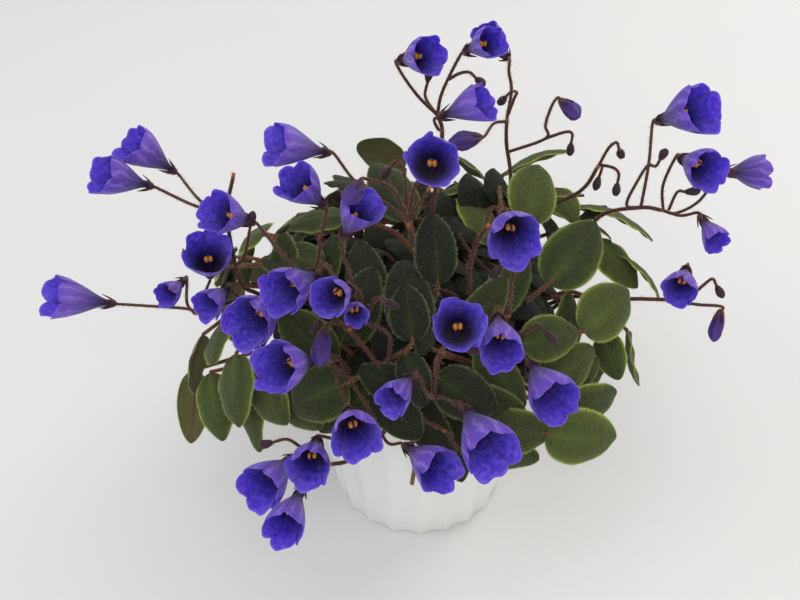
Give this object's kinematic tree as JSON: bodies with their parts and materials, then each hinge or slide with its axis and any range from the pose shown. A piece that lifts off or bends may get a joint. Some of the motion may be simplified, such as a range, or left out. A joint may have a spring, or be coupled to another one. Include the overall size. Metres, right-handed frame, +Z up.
{
  "type": "potted cape primrose",
  "caption": "Potted cape primrose: violet bell-shaped flowers on branching hairy stalks above a mound of small velvety leaves, in a round fluted white plastic pot.",
  "frame": {"origin": "middle of the pot's flat underside, where it stands", "axes": "+Z up along the pot's axis; -Y towards the viewer of the picture, +X to the right"},
  "size_m": [0.3074, 0.2134, 0.2349],
  "materials": {
    "white_plastic": "satin white",
    "potting_soil": "dark damp peat, rough",
    "leaf": "velvety grey-green leaf",
    "flower_stalk": "hairy red-brown stalk",
    "petal": "soft violet petal"
  },
  "bodies": {
    "root": {"pot": "white_plastic", "soil": "potting_soil", "leafy_stem_back_left": "leaf", "leafy_stem_back_right": "leaf", "leafy_stem_front_left": "leaf", "leafy_stem_front_right": "leaf", "leafy_stem_left": "leaf", "leafy_stem_right": "leaf", "leafy_stem_top": "leaf", "flower_stalk_back": "flower_stalk", "flower_stalk_behind_right": "flower_stalk", "flower_stalk_centre": "flower_stalk", "flower_stalk_front": "flower_stalk", "flower_stalk_front_right": "flower_stalk", "flower_stalk_high_left": "flower_stalk", "flower_stalk_high_right": "flower_stalk", "flower_stalk_low_front": "flower_stalk", "flower_stalk_low_left": "flower_stalk", "flower_stalk_low_right": "flower_stalk", "flower_stalk_mid_front": "flower_stalk", "flower_stalk_mid_left": "flower_stalk", "flower_stalk_middle": "flower_stalk", "flower_stalk_tall": "flower_stalk", "flower_01": "petal", "flower_02": "petal", "flower_03": "petal", "flower_04": "petal", "flower_05": "petal", "flower_06": "petal", "flower_07": "petal", "flower_08": "petal", "flower_09": "petal", "flower_10": "petal", "flower_11": "petal", "flower_12": "petal", "flower_13": "petal", "flower_14": "petal", "flower_15": "petal", "flower_17": "petal", "flower_18": "petal", "flower_19": "petal", "flower_20": "petal", "flower_21": "petal", "flower_22": "petal", "flower_23": "petal", "flower_24": "petal", "flower_25": "petal", "flower_26": "petal", "flower_27": "petal", "flower_28": "petal", "flower_29": "petal", "flower_32": "petal", "flower_33": "petal", "flower_34": "petal", "flower_35": "petal", "flower_36": "petal", "flower_38": "petal", "flower_39": "petal", "flower_40": "petal"}
  },
  "joints": []
}
